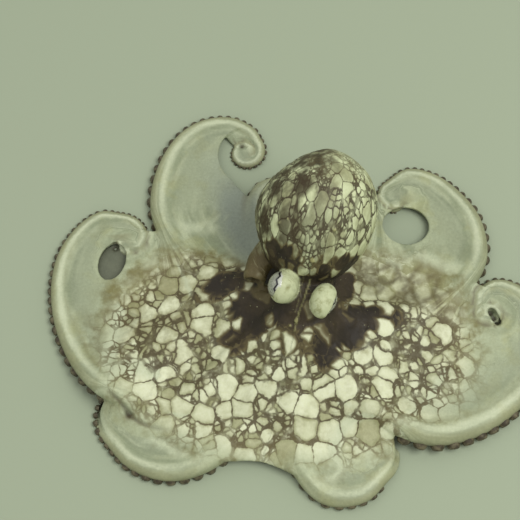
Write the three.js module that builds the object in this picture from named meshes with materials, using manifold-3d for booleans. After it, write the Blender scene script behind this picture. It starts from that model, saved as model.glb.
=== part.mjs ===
// A common octopus resting with its web spread: mantle and head raised behind the arm crown,
// eight arms swept backward along the rim of the web, each tip wound into a flat coil.
//
// Millimetres, +Z up. The animal faces -Y. The arms and web are laid out from the centre of the
// arm crown, and the whole group is then moved so that its origin is the centre of its footprint.
// Arm pairs are numbered from the front, as in anatomy: 1 beside the midline, 4 at the back.
// Left is the -X side and right the +X side, as seen by whoever faces the animal.
import * as THREE from 'three';
import { mergeVertices } from 'three/addons/utils/BufferGeometryUtils.js';
import Module from 'manifold-3d';

const wasm = await Module();
wasm.setup();

const rad = THREE.MathUtils.degToRad;
const lerp = THREE.MathUtils.lerp;
const ease = THREE.MathUtils.smoothstep;

// ---- driving dimensions ----
const gap = 0.3;                 // clearance between pieces that meet
const footFlat = 0.4;            // how far the underside is flattened where it lies on the floor

const crownRadius = 12;          // arms start this far from the crown's centre
const domeHeight = 30;           // rise of the arm crown above the lying arms
const domeRadius = 92;           // where the dome has come down to the floor
const wedgeReach = 46;           // neighbouring arms are parted by a plane out to this radius

const armBase = 15;              // arm thickness at its root, less armTip
const armTip = 1.4;
const armTaper = 0.85;
const armSides = 6;
const armFacet = 1.06;           // makes up for the flat facets of a tube
const armRings = { turn: rad(36), reach: 2 };   // most turn, and most length in thicknesses
const rollMost = rad(40);        // how far the sucker face turns outward along the free rim
const rollSpan = [-25, 50];      // where it turns, from the place where the rim comes free

const suckerRise = 0.22;         // shares of the arm's thickness there
const suckerRadius = 0.27;
const suckerPitch = 0.8;
const suckerSpread = rad(30);    // each row's angle from the middle of the sucker face
const suckerSides = 5;
const suckerLeast = 7.8;         // thickness of the arm where the row ends
const suckerStart = 12;          // where the row starts, from the place where the rim comes free

const webThin = 1.0;             // web thickness at an arm of no thickness
const webGrow = 0.13;            // extra web thickness per millimetre of arm thickness
const webRise = 0.12;            // height of the web on the arm's side, as a share of thickness
const coilHeights = [1.2, 2.8];  // underside and top of the skin inside a coil
const webRings = { turn: rad(44), reach: 3.4 };

// Arms: [x, y] points of the midline on the floor, then a flat coil that tightens by `shrink`
// every turn; `from` is where the skin inside the coil starts. side is -1 for an arm that turns
// clockwise, seen from above, and 1 for the other.
// The web leaves the outer side of the arm at the distance `free` along it, and the inner side at
// `held`. A lift carries the arm over the tip of the arm in front: [where, height, half width].
const arms = {
  arm_1_left: {
    bearing: 234, side: -1, free: 90, held: 168,
    through: [[-20, -36], [-32, -60], [-52, -79], [-74, -86], [-95, -80], [-109, -66]],
    coil: { from: 168, radius: 20, shrink: 0.25, turns: 1.0 },
  },
  arm_2_left: {
    bearing: 199, side: -1, free: 112, held: 280, lift: [112, 9, 24],
    through: [[-37, -21], [-62, -40], [-88, -48], [-109, -41], [-126, -24], [-138, -1],
      [-143, 23], [-141, 45], [-132, 62], [-120, 72], [-108, 71.5]],
    coil: { from: 262, radius: 18.5, shrink: 0.16, turns: 1.35 },
  },
  arm_3_left: {
    bearing: 154, side: -1, free: 92, held: 202,
    through: [[-34, 16], [-57, 35], [-75, 54], [-84, 74], [-83, 97], [-74, 119], [-60, 132],
      [-43, 135.5], [-30, 130], [-24.5, 122]],
    coil: { from: 193, radius: 10.5, shrink: 0.52, turns: 1.2 },
  },
  arm_4_left: {
    bearing: 107, side: -1, free: 72, held: 60,
    through: [[-12, 33], [-22, 52], [-27, 72], [-24, 88], [-12, 95]],
    coil: { from: 96, radius: 10, shrink: 0.4, turns: 1.3 },
  },
  arm_4_right: {
    bearing: 56, side: 1, free: 84, held: 60,
    through: [[19, 29], [33, 46], [43, 64], [43, 81], [33, 91]],
    coil: { from: 92, radius: 10, shrink: 0.4, turns: 1.3 },
  },
  arm_3_right: {
    bearing: 2, side: 1, free: 100, held: 214,
    through: [[36, 0], [68, 8], [92, 22], [106, 41], [107, 62], [100, 79], [85, 95],
      [68, 101], [55, 93.5]],
    coil: { from: 196, radius: 11, shrink: 0.35, turns: 0.75 },
  },
  arm_2_right: {
    bearing: -48, side: 1, free: 66, held: 250, lift: [70, 8, 22],
    through: [[25, -31], [43, -54], [68, -65], [93, -62], [116, -50], [134, -32], [142, -10],
      [139, 11], [129, 24], [116, 28], [106, 21], [104, 11]],
    coil: { from: 262, radius: 8, shrink: 0.5, turns: 1.2 },
  },
  arm_1_right: {
    bearing: -92, side: 1, free: 84, held: 150,
    through: [[0, -38], [-2, -62], [-1, -82], [13, -99], [33, -99], [47, -87]],
    coil: { from: 150, radius: 18, shrink: 0.25, turns: 1.0 },
  },
};
const armLengths = { base: [0, 0.3], middle: [0.3, 0.62], tip: [0.62, 1] };

// Web sectors, each between two arms, with so many cells across. The free edge is bowed inward by
// a share of its reach.
const webs = {
  web_front: { span: [['arm_1_left', 'free'], ['arm_1_right', 'free']], bow: 0.12, cells: 4 },
  web_front_left: { span: [['arm_2_left', 'free'], ['arm_1_left', 'held']], bow: 0, cells: 2 },
  web_side_left: { span: [['arm_3_left', 'free'], ['arm_2_left', 'held']], bow: 0.12, cells: 3 },
  web_rear_left: { span: [['arm_4_left', 'free'], ['arm_3_left', 'held']], bow: 0.16, cells: 5 },
  web_rear: { span: [['arm_4_right', 'held'], ['arm_4_left', 'held']], bow: 0.3, cells: 4 },
  web_rear_right: { span: [['arm_3_right', 'held'], ['arm_4_right', 'free']], bow: 0, cells: 2 },
  web_side_right: { span: [['arm_2_right', 'held'], ['arm_3_right', 'free']], bow: 0.1, cells: 3 },
  web_front_right: { span: [['arm_1_right', 'held'], ['arm_2_right', 'free']], bow: 0, cells: 2 },
};
// Openings between a web and the coil beside it: centre, half sizes and turn, in plan.
const webHoles = {
  web_rear_left: { centre: [-33, 111], half: [16, 19], turn: 12 },
  web_side_left: { centre: [-111.5, 41], half: [8, 12], turn: -15 },
  web_rear_right: { centre: [64, 64], half: [14, 12.5], turn: 0 },
  web_side_right: { centre: [108, 2], half: [8, 7], turn: 0 },
};

// Body: centre, half sizes along the piece's own x, y and z, and its turn and upward tilt.
const mantle = { centre: [7.2, 45.5, 61], half: [34, 39.5, 31], turn: -14, tilt: 38, swell: 0.1 };
const skull = { centre: [1, 5, 35], half: [18, 21, 17], turn: -20, tilt: 18, swell: 0 };
const bulbs = {
  left: { centre: [-10, 6.5, 55], half: [9, 10.5, 9], turn: -25, tilt: 10, swell: 0 },
  right: { centre: [9.5, -0.5, 55], half: [9, 10.5, 9], turn: -15, tilt: 10, swell: 0 },
};
const eyes = {
  eye_left: { centre: [-12.6, 6.6, 57], half: [6.5, 7.8, 7], turn: -25, tilt: 10, swell: 0 },
  eye_right: { centre: [12.3, -1.5, 55.6], half: [6.5, 7.8, 7], turn: -15, tilt: 10, swell: 0 },
};
const funnel = {
  path: [[-13, 38, 38], [-20, 32, 39], [-25, 24, 39], [-27, 15, 38]],
  radius: [9, 6.5], bore: [5, 5], bored: 0.6,
};
const mouth = { radius: 11.4, rim: 22, depth: 6 };

const colours = {
  mantle: '#8f8c6c', head: '#5d5338', eye: '#c9cdb4', arm: '#b9bb9b', web: '#a3a483',
  webPale: '#9aa3a0', funnel: '#a9ab98',
};

// ---- closed meshes and solids ----
function solidOf(geometry) {
  geometry.deleteAttribute('normal');
  geometry.deleteAttribute('uv');
  const merged = mergeVertices(geometry, 1e-4);
  return new wasm.Manifold(new wasm.Mesh({
    numProp: 3,
    vertProperties: new Float32Array(merged.attributes.position.array),
    triVerts: new Uint32Array(merged.index.array),
  }));
}

function geometryOf(solid) {
  const mesh = solid.getMesh();
  const geometry = new THREE.BufferGeometry();
  geometry.setAttribute('position', new THREE.BufferAttribute(mesh.vertProperties, 3));
  geometry.setIndex(new THREE.BufferAttribute(mesh.triVerts, 1));
  const flat = geometry.toNonIndexed();
  flat.computeVertexNormals();
  return flat;
}

// A three.js primitive with every vertex moved to place(vertex).
function moulded(geometry, place) {
  const position = geometry.attributes.position;
  const vertex = new THREE.Vector3();
  for (let i = 0; i < position.count; i += 1) {
    vertex.fromBufferAttribute(position, i);
    const moved = place(vertex);
    position.setXYZ(i, moved.x, moved.y, moved.z);
  }
  return solidOf(geometry);
}

// The largest of the pieces that a cut leaves.
function largest(solid) {
  return solid.decompose().reduce((best, piece) => (piece.volume() > best.volume() ? piece : best));
}

function prism(points, low, high) {
  const outline = new THREE.Shape(points.map(([x, y]) => new THREE.Vector2(x, y)));
  const geometry = new THREE.ExtrudeGeometry(outline, { depth: high - low, bevelEnabled: false });
  return solidOf(geometry.translate(0, 0, low));
}

// ---- arms ----
const dome = (x, y) => domeHeight * Math.max(0, 1 - Math.hypot(x, y) / domeRadius) ** 2;

// The arm's midline in plan, as closely spaced points with the distance along it.
function routeOf(arm) {
  const start = [crownRadius * Math.cos(rad(arm.bearing)), crownRadius * Math.sin(rad(arm.bearing))];
  const knots = [start, ...arm.through].map(([x, y]) => new THREE.Vector3(x, y, 0));
  const curve = new THREE.CatmullRomCurve3(knots, false, 'catmullrom', 0.5);
  const points = curve.getPoints(24 * arm.through.length);
  const tangent = curve.getTangent(1);
  const heading = Math.atan2(tangent.y, tangent.x);
  const { radius, shrink, turns } = arm.coil;
  const turnStep = 0.05;
  const end = points.at(-1).clone();
  for (let turned = 0; turned < turns * 2 * Math.PI; turned += turnStep) {
    const stride = radius * shrink ** (turned / (2 * Math.PI)) * turnStep;
    const way = heading + arm.side * (turned + turnStep / 2);
    end.x += Math.cos(way) * stride;
    end.y += Math.sin(way) * stride;
    points.push(end.clone());
  }
  const along = [0];
  for (let i = 1; i < points.length; i += 1) along.push(along[i - 1] + points[i].distanceTo(points[i - 1]));
  return { points, along, length: along.at(-1) };
}
for (const arm of Object.values(arms)) Object.assign(arm, routeOf(arm));

function planAt(arm, distance) {
  const s = THREE.MathUtils.clamp(distance, 0, arm.length);
  let i = arm.along.findIndex((a) => a >= s);
  i = Math.max(i, 1);
  const share = (s - arm.along[i - 1]) / (arm.along[i] - arm.along[i - 1]);
  return new THREE.Vector3().lerpVectors(arm.points[i - 1], arm.points[i], share);
}
const thickness = (arm, s) => armBase * Math.max(0, 1 - s / arm.length) ** armTaper + armTip;
const rollAt = (arm, s) => rollMost * ease(s, arm.free + rollSpan[0], arm.free + rollSpan[1]);

function centreAt(arm, s) {
  const spot = planAt(arm, s);
  const thick = thickness(arm, s);
  const [where, height, half] = arm.lift ?? [0, 0, 1];
  spot.z = dome(spot.x, spot.y) + thick / 2 - footFlat + height * Math.exp(-(((s - where) / half) ** 2));
  return spot;
}

// Axes of the cross-section: along the arm, away from the suckers, and across.
function frameAt(arm, s) {
  const along = centreAt(arm, s + 0.5).sub(centreAt(arm, s - 0.5)).normalize();
  const across = new THREE.Vector3(-along.y, along.x, 0).normalize();
  const up = along.clone().cross(across);
  const roll = arm.side * rollAt(arm, s);
  const back = up.clone().multiplyScalar(Math.cos(roll)).addScaledVector(across, Math.sin(roll));
  return { along, back, side: along.clone().cross(back) };
}

// Distances along the arm for the rings of one stretch of it.
function ringsOf(arm, from, to, { turn: mostTurn, reach: mostReach }) {
  const headingAt = (s) => {
    const step = planAt(arm, s + 0.25).sub(planAt(arm, s - 0.25));
    return Math.atan2(step.y, step.x);
  };
  const rings = [from];
  while (rings.at(-1) < to) {
    const last = rings.at(-1);
    let next = last + 0.5;
    const turned = () => {
      const turn = headingAt(next) - headingAt(last);
      return Math.abs(Math.atan2(Math.sin(turn), Math.cos(turn)));
    };
    while (turned() < mostTurn && next - last < mostReach * thickness(arm, last)) next += 0.5;
    rings.push(next);
  }
  rings.pop();
  if (to - rings.at(-1) < 1 && rings.length > 1) rings.pop();
  return [...rings, to];
}

// A stretch of an arm through the given rings, or with grow the room that it needs.
function armTube(arm, rings, grow = 0) {
  const steps = rings.length - 1;
  const tube = new THREE.CylinderGeometry(1, 1, 1, armSides, steps);
  return moulded(tube, (vertex) => {
    const s = rings[Math.round((0.5 - vertex.y) * steps)];
    const { back, side } = frameAt(arm, s);
    const radius = armFacet * thickness(arm, s) / 2 + grow;
    return centreAt(arm, s).addScaledVector(side, -vertex.x * radius).addScaledVector(back, vertex.z * radius);
  });
}

function suckersOf(arm, from, to) {
  const suckers = [];
  let s = arm.free + suckerStart;
  while (thickness(arm, s) > suckerLeast) {
    const thick = thickness(arm, s);
    const margin = suckerRadius * thick + gap;
    if (s > from + margin && s < to - margin) suckers.push(suckerAt(arm, s));
    s += suckerPitch * thick;
  }
  return suckers;
}

// A sucker of the outer row, sunk into the arm's side.
function suckerAt(arm, s) {
  const thick = thickness(arm, s);
  const { back, side } = frameAt(arm, s);
  const way = back.clone().multiplyScalar(-Math.cos(suckerSpread))
    .addScaledVector(side, arm.side * Math.sin(suckerSpread));
  const radius = suckerRadius * thick;
  const inner = 0.3 * thick;
  const outer = (0.5 + suckerRise) * thick;
  const cup = new THREE.CylinderGeometry(radius, radius * 0.7, outer - inner, suckerSides, 1);
  cup.applyQuaternion(new THREE.Quaternion().setFromUnitVectors(new THREE.Vector3(0, 1, 0), way));
  const middle = centreAt(arm, s).addScaledVector(way, (inner + outer) / 2);
  return solidOf(cup.translate(middle.x, middle.y, middle.z));
}

// The space of one arm near the crown, between the planes halfway to its neighbours.
function wedgeOf(index) {
  const list = Object.values(arms);
  const bearingOf = (i) => {
    const spot = planAt(list[(i + list.length) % list.length], wedgeReach / 2);
    return THREE.MathUtils.radToDeg(Math.atan2(spot.y, spot.x));
  };
  const own = bearingOf(index);
  const halfway = (other) => {
    const turn = ((other - own + 540) % 360) - 180;
    return rad(own + turn / 2);
  };
  const sides = [halfway(bearingOf(index - 1)), halfway(bearingOf(index + 1))].sort((a, b) => a - b);
  const at = (radius, angle, from = [0, 0]) => [
    from[0] + radius * Math.cos(angle), from[1] + radius * Math.sin(angle)];
  const middle = rad(own);
  const tip = at(gap / 2 / Math.sin((sides[1] - sides[0]) / 2), middle);
  const spread = rad(60);
  const low = at(wedgeReach, sides[0], tip);
  const high = at(wedgeReach, sides[1], tip);
  const far = 400;
  return prism([tip, low, at(far, sides[0] - spread, low), at(far, middle),
    at(far, sides[1] + spread, high), high], -20, 120);
}

// The outline of the skin inside a coil: the midline, for as many steps as stay under one turn.
function coilOutline(arm) {
  const step = { turn: rad(36), reach: 4 };
  const rings = ringsOf(arm, arm.coil.from, arm.length, step).slice(0, Math.floor(2 * Math.PI / step.turn));
  return rings.map((s) => planAt(arm, s)).map(({ x, y }) => [x, y]);
}
const coilFill = (arm) => prism(coilOutline(arm), ...coilHeights);
const coilRoom = (arm) => prism(coilOutline(arm), -20, 60);

// ---- web ----
function webSlab(web) {
  const [first, second] = web.span.map(([name, end]) => ({ arm: arms[name], reach: arms[name][end] }));
  const edge = ({ arm, reach }, share) => {
    const s = share * reach;
    const spot = planAt(arm, s);
    const offset = centreAt(arm, s).z - dome(spot.x, spot.y) + webRise * thickness(arm, s);
    return { spot, offset, thick: webThin + webGrow * thickness(arm, s) };
  };
  const [rings] = [first, second]
    .map(({ arm, reach }) => ringsOf(arm, 0, reach, webRings).map((s) => s / reach))
    .sort((a, b) => b.length - a.length);
  const steps = rings.length - 1;
  const slab = new THREE.BoxGeometry(1, 1, 1, steps, web.cells, 1);
  return moulded(slab, (vertex) => {
    const across = vertex.y + 0.5;
    const ring = rings[Math.round((vertex.x + 0.5) * steps)];
    const outward = ring * (1 - web.bow * 4 * across * (1 - across));
    const a = edge(first, outward);
    const b = edge(second, outward);
    const spot = a.spot.lerp(b.spot, across);
    spot.z = dome(spot.x, spot.y) + lerp(a.offset, b.offset, across)
      + vertex.z * lerp(a.thick, b.thick, across);
    return spot;
  });
}

function holeOf({ centre, half, turn }) {
  const post = new THREE.CylinderGeometry(1, 1, 60, 16, 1).rotateX(Math.PI / 2);
  post.scale(half[0], half[1], 1).rotateZ(rad(turn)).translate(centre[0], centre[1], 20);
  return solidOf(post);
}

// ---- head and mantle ----
// An egg shape: a sphere stretched along y and made thicker towards its far end by `swell`.
function egg({ centre, half, turn, tilt, swell }, segments, grow = 0) {
  const ball = new THREE.SphereGeometry(1, segments, Math.round(segments * 0.6)).rotateX(Math.PI / 2);
  const place = new THREE.Euler(rad(tilt), 0, rad(turn), 'ZXY');
  return moulded(ball, (vertex) => {
    const thick = 1 + swell * vertex.y;
    return new THREE.Vector3(
      vertex.x * thick * (half[0] + grow), vertex.y * (half[1] + grow), vertex.z * thick * (half[2] + grow),
    ).applyEuler(place).add(new THREE.Vector3(...centre));
  });
}

function headSolid(grow = 0) {
  const column = new THREE.CylinderGeometry(mouth.radius + grow, mouth.radius + grow, 20, 12, 1)
    .rotateX(Math.PI / 2).translate(0, 0, mouth.rim + 10 - grow);
  return egg(skull, 12, grow).add(solidOf(column))
    .add(egg(bulbs.left, 10, grow)).add(egg(bulbs.right, 10, grow));
}

// A tube along the funnel's path from the share `start` of it to its mouth, and past the mouth
// by `past`.
function funnelTube(radii, start = 0, past = 0) {
  const curve = new THREE.CatmullRomCurve3(funnel.path.map((p) => new THREE.Vector3(...p)));
  const tube = new THREE.CylinderGeometry(1, 1, 1, 8, 5);
  return moulded(tube, (vertex) => {
    const t = lerp(start, 1, 0.5 - vertex.y);
    const along = curve.getTangentAt(t);
    const side = new THREE.Vector3(-along.y, along.x, 0).normalize();
    const back = along.clone().cross(side);
    const radius = lerp(...radii, t);
    return curve.getPointAt(t).addScaledVector(along, vertex.y < -0.49 ? past : 0)
      .addScaledVector(side, vertex.x * radius).addScaledVector(back, vertex.z * radius);
  });
}

// ---- assembly ----
const group = new THREE.Group();
function addPiece(name, solid, colour, roughness = 0.45) {
  const material = new THREE.MeshStandardMaterial({ color: colour, roughness, metalness: 0 });
  const mesh = new THREE.Mesh(geometryOf(solid), material);
  mesh.name = name;
  group.add(mesh);
}

const aboveFloor = solidOf(new THREE.BoxGeometry(800, 800, 400).translate(0, 0, 200));
const headRoom = headSolid(gap);
const mantleRoom = egg(mantle, 16, gap);
const eyeRooms = Object.values(eyes).map((eye) => egg(eye, 10, gap));

addPiece('mantle', largest(egg(mantle, 16).subtract(headRoom)), colours.mantle);
const mouthCut = solidOf(new THREE.ConeGeometry(mouth.radius * 0.5, mouth.depth, 10)
  .rotateX(Math.PI / 2).translate(0, 0, mouth.rim + mouth.depth / 2 - 0.01));
let head = headSolid().subtract(mouthCut);
for (const room of eyeRooms) head = head.subtract(room);
addPiece('head', largest(head), colours.head);
for (const [name, eye] of Object.entries(eyes)) addPiece(name, egg(eye, 10), colours.eye, 0.2);
const funnelBore = funnelTube(funnel.bore, funnel.bored, 1);
addPiece('funnel', largest(funnelTube(funnel.radius).subtract(funnelBore)
  .subtract(headRoom).subtract(mantleRoom)), colours.funnel);

const armRooms = [];
Object.entries(arms).forEach(([name, arm], index) => {
  const ends = Object.values(armLengths).map(([from, to]) => [
    from * arm.length + (from > 0 ? gap / 2 : 0), to * arm.length - (to < 1 ? gap / 2 : 0)]);
  const rings = ends.map(([from, to]) => ringsOf(arm, from, to, armRings));
  armRooms.push(armTube(arm, rings.flat(), gap), coilRoom(arm));
  Object.keys(armLengths).forEach((part, i) => {
    let piece = armTube(arm, rings[i]);
    for (const sucker of suckersOf(arm, ...ends[i])) piece = piece.add(sucker);
    if (part === 'tip') piece = piece.add(coilFill(arm));
    if (part === 'base') {
      piece = piece.intersect(wedgeOf(index)).subtract(headRoom).subtract(mantleRoom);
    }
    addPiece(`${name}_${part}`, largest(piece.intersect(aboveFloor)), colours.arm);
  });
});

for (const [name, web] of Object.entries(webs)) {
  let sheet = webSlab(web);
  for (const room of [...armRooms, headRoom, mantleRoom]) sheet = sheet.subtract(room);
  if (webHoles[name]) sheet = sheet.subtract(holeOf(webHoles[name]));
  addPiece(name, largest(sheet), name === 'web_rear_left' ? colours.webPale : colours.web);
}

const box = new THREE.Box3().setFromObject(group);
group.position.set(-(box.min.x + box.max.x) / 2, -(box.min.y + box.max.y) / 2, -box.min.z);

export default group;
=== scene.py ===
import math
from types import SimpleNamespace

import bmesh
import bpy
import numpy as np
from mathutils import Matrix, Vector


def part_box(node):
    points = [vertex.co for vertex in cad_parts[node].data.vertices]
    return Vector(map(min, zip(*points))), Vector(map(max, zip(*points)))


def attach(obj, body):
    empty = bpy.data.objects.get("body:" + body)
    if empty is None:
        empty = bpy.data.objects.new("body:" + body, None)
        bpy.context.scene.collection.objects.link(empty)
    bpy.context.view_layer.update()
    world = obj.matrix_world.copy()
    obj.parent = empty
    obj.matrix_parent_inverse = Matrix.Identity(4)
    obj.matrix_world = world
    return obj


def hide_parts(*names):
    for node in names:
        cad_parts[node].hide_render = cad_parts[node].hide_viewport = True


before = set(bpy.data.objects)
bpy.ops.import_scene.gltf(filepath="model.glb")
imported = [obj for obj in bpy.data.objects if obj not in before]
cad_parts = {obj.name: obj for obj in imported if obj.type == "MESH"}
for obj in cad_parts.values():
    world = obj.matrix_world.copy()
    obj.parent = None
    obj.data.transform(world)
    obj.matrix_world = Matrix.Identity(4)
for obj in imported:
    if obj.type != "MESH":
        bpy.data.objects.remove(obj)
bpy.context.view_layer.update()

# Shapes are laid out in millimetres from the centre of the arm crown, with +X to the right,
# the face towards -Y and the floor at 0, and are moved into the frame when they are finished.
# Angles are in degrees. A body shape is tilted about its own x, then turned about z. An eye looks
# along its bearing and rise, and its opening is the lids' low and high edge and half its length.
eyes = {
    "eye_left": {"centre": (-12.6, 6.6, 57), "half": (6.5, 7.8, 7), "turn": -25, "tilt": 10,
                 "bearing": 163, "rise": 78, "opening": (-0.97, 0.1, 0.93), "wedge": 0.18},
    "eye_right": {"centre": (12.3, -1.5, 55.6), "half": (6.5, 7.8, 7), "turn": -15, "tilt": 10,
                  "bearing": -30, "rise": 33, "opening": (-0.92, -0.02, 0.84), "wedge": 0.06},
}
slitBearing = 252
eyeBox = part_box("eye_left")
toFrame = (Matrix.Translation((eyeBox[0] + eyeBox[1]) / 2) @ Matrix.Scale(0.001, 4)
           @ Matrix.Translation(-Vector(eyes["eye_left"]["centre"])))


def ease(value, low, high):  # 0 up to low, 1 from high on, and a smooth step between them
    share = np.clip((value - low) / (high - low), 0, 1)
    return share * share * (3 - 2 * share)


def bell(offset, half):  # 1 at no offset, falling off evenly on both sides
    return np.exp(-(offset / half) ** 2)


def dotAt(spots, x, y, half):  # a bell round a place in plan
    return bell(np.hypot(spots[:, 0] - x, spots[:, 1] - y), half)


def squaresTo(plan, line):  # squared distances in plan from each place to each point of a line
    return (plan[:, None, 0] - line[:, 0]) ** 2 + (plan[:, None, 1] - line[:, 1]) ** 2


def unit(rows):
    return rows / np.maximum(np.linalg.norm(rows, axis=-1, keepdims=True), 1e-9)


def movedBy(bm, place):  # moves every vertex by a function of its first place
    spots = place(np.array([vert.co[:] for vert in bm.verts]))
    for vert, spot in zip(bm.verts, spots):
        vert.co = spot


def meshFrom(bm, name):
    mesh = bpy.data.meshes.new(name)
    bm.to_mesh(mesh)
    bm.free()
    return mesh


def linked(mesh, name):
    piece = bpy.data.objects.new(name, mesh)
    bpy.context.scene.collection.objects.link(piece)
    return piece


def toObject(bm, name):
    bmesh.ops.transform(bm, matrix=toFrame, verts=bm.verts)
    return linked(meshFrom(bm, name), name)


def applied(piece):  # bakes a piece's modifiers into its mesh
    baked = bpy.data.meshes.new_from_object(piece.evaluated_get(bpy.context.evaluated_depsgraph_get()))
    piece.modifiers.clear()
    piece.data = baked
    return piece


def joinedFrom(pieces):  # one bmesh of several pieces, which are used up
    bm = bmesh.new()
    for piece in pieces:
        bm.from_mesh(piece.data)
        bpy.data.objects.remove(piece)
    return bm


def shadeSmooth(mesh):
    mesh.polygons.foreach_set("use_smooth", np.ones(len(mesh.polygons), bool))


# An arm leaves the crown on its bearing and curls to the left (side 1) or right (side -1). The web
# reaches along it to free on the outside of its curl and to held on the inside. A lift is where it
# rises, by how much and half how long; sunk is where it starts and ends to flatten. A coil is where
# it starts for its outline, its radius, the share of that left after a turn, and its turns.
crown = {"radius": 12, "height": 30, "spread": 92}
armBuild = {"root": 15, "tip": 1.4, "taper": 0.85, "flat": 0.4, "roll": 40, "rollFrom": -25, "rollTo": 50,
            "around": 20, "step": 1.5, "crest": 0.1, "flattened": 0.86}
neverSunk = (1000, 2000)  # past the end of every arm
arms = {
    "arm_1_left": {
        "bearing": 234, "side": -1, "free": 90, "held": 168, "sunk": (146, 172),
        "through": [(-20, -36), (-32, -60), (-52, -79), (-74, -86), (-95, -80), (-109, -66)],
        "coil": (168, 20, 0.25, 1.0)},
    "arm_2_left": {
        "bearing": 199, "side": -1, "free": 112, "held": 280, "lift": (112, 9, 24),
        "through": [(-37, -21), (-62, -40), (-88, -48), (-109, -41), (-126, -24), (-138, -1),
                    (-143, 23), (-141, 45), (-132, 62), (-120, 72), (-108, 71.5)],
        "coil": (262, 18.5, 0.16, 1.35)},
    "arm_3_left": {
        "bearing": 154, "side": -1, "free": 92, "held": 202,
        "through": [(-34, 16), (-57, 35), (-75, 54), (-84, 74), (-83, 97), (-74, 119), (-60, 132),
                    (-43, 135.5), (-30, 130), (-24.5, 122)],
        "coil": (193, 10.5, 0.52, 1.2)},
    "arm_4_left": {
        "bearing": 107, "side": -1, "free": 72, "held": 60,
        "through": [(-12, 33), (-22, 52), (-27, 72), (-24, 88), (-12, 95)],
        "coil": (96, 10, 0.4, 1.3)},
    "arm_4_right": {
        "bearing": 56, "side": 1, "free": 84, "held": 60,
        "through": [(19, 29), (33, 46), (43, 64), (43, 81), (33, 91)],
        "coil": (92, 10, 0.4, 1.3)},
    "arm_3_right": {
        "bearing": 2, "side": 1, "free": 100, "held": 214,
        "through": [(36, 0), (68, 8), (92, 22), (106, 41), (107, 62), (100, 79), (85, 95),
                    (68, 101), (55, 93.5)],
        "coil": (196, 11, 0.35, 0.75)},
    "arm_2_right": {
        "bearing": -48, "side": 1, "free": 66, "held": 250, "lift": (70, 8, 22),
        "through": [(25, -31), (43, -54), (68, -65), (93, -62), (116, -50), (134, -32), (142, -10),
                    (139, 11), (129, 24), (116, 28), (106, 21), (104, 11)],
        "coil": (262, 8, 0.5, 1.2)},
    "arm_1_right": {
        "bearing": -92, "side": 1, "free": 84, "held": 150, "sunk": (128, 152), "showing": 0.78,
        "suckered": 122,
        "through": [(0, -38), (-2, -62), (-1, -82), (13, -99), (33, -99), (47, -87)],
        "coil": (150, 18, 0.25, 1.0)},
}


def domeAt(x, y):
    return crown["height"] * np.maximum(0, 1 - np.hypot(x, y) / crown["spread"]) ** 2


def splineThrough(knots, steps=24):  # a Catmull-Rom curve through knots in plan or in space
    knots = np.array(knots, float)
    knots = np.vstack([2 * knots[0] - knots[1], knots, 2 * knots[-1] - knots[-2]])
    t = np.linspace(0, 1, steps, endpoint=False)[:, None]
    points = []
    for a, b, c, d in zip(knots, knots[1:], knots[2:], knots[3:]):
        points.append(0.5 * (2 * b + (c - a) * t + (2 * a - 5 * b + 4 * c - d) * t ** 2
                             + (3 * b - a - 3 * c + d) * t ** 3))
    return np.vstack(points + [knots[-2:-1]])


def layRoute(arm):
    # adds the arm's midline in plan: its points and the distance along it
    bearing = math.radians(arm["bearing"])
    start = crown["radius"] * math.cos(bearing), crown["radius"] * math.sin(bearing)
    points = splineThrough([start] + arm["through"])
    chord = np.subtract(arm["through"][-1], arm["through"][-2])
    _, radius, shrink, turns = arm["coil"]
    turnStep = 0.05
    turned = np.arange(0, turns * 2 * math.pi, turnStep)
    stride = radius * shrink ** (turned / (2 * math.pi)) * turnStep
    way = math.atan2(chord[1], chord[0]) + arm["side"] * (turned + turnStep / 2)
    winding = points[-1] + np.cumsum(np.stack([np.cos(way), np.sin(way)], 1) * stride[:, None], 0)
    points = np.vstack([points, winding])
    arm["points"] = points
    arm["along"] = np.concatenate([[0], np.cumsum(np.linalg.norm(np.diff(points, axis=0), axis=1))])
    arm["length"] = arm["along"][-1]


def planAt(arm, s):
    return np.stack([np.interp(s, arm["along"], arm["points"][:, k]) for k in (0, 1)], -1)


def thickAt(arm, s):
    share = np.clip(1 - s / arm["length"], 0, 1)
    return armBuild["root"] * share ** armBuild["taper"] + armBuild["tip"]


def centreAt(arm, s):
    plan = planAt(arm, s)
    where, height, half = arm.get("lift", (0, 0, 1))
    z = (domeAt(plan[..., 0], plan[..., 1]) + thickAt(arm, s) / 2 - armBuild["flat"]
         + height * bell(s - where, half))
    return np.concatenate([plan, z[..., None]], -1)


def framesAt(arm, s):
    # axes of the section: along the arm, away from the suckers, and across to the right
    along = unit(centreAt(arm, s + 0.5) - centreAt(arm, s - 0.5))
    across = unit(np.stack([-along[..., 1], along[..., 0], 0 * s], -1))
    up = np.cross(along, across)
    rolled = ease(s, arm["free"] + armBuild["rollFrom"], arm["free"] + armBuild["rollTo"])
    roll = arm["side"] * math.radians(armBuild["roll"]) * rolled
    back = up * np.cos(roll)[..., None] + across * np.sin(roll)[..., None]
    return along, back, np.cross(along, back)


def tubeFrom(rows, around, place):
    # a closed tube from a grid: u runs along it and v around it, both from 0 to 1
    bm = bmesh.new()
    bmesh.ops.create_grid(bm, x_segments=rows, y_segments=around, size=0.5)
    movedBy(bm, lambda spots: place(spots[:, 0] + 0.5, spots[:, 1] + 0.5))
    bmesh.ops.remove_doubles(bm, verts=bm.verts, dist=1e-4)
    bmesh.ops.holes_fill(bm, edges=[edge for edge in bm.edges if edge.is_boundary])
    bmesh.ops.recalc_face_normals(bm, faces=bm.faces)
    return bm


def ringAt(centre, first, second, angle, radius):  # places round a line, from its first axis on
    return (centre + first * (np.cos(angle) * radius)[:, None]
            + second * (np.sin(angle) * radius)[:, None])


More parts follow.
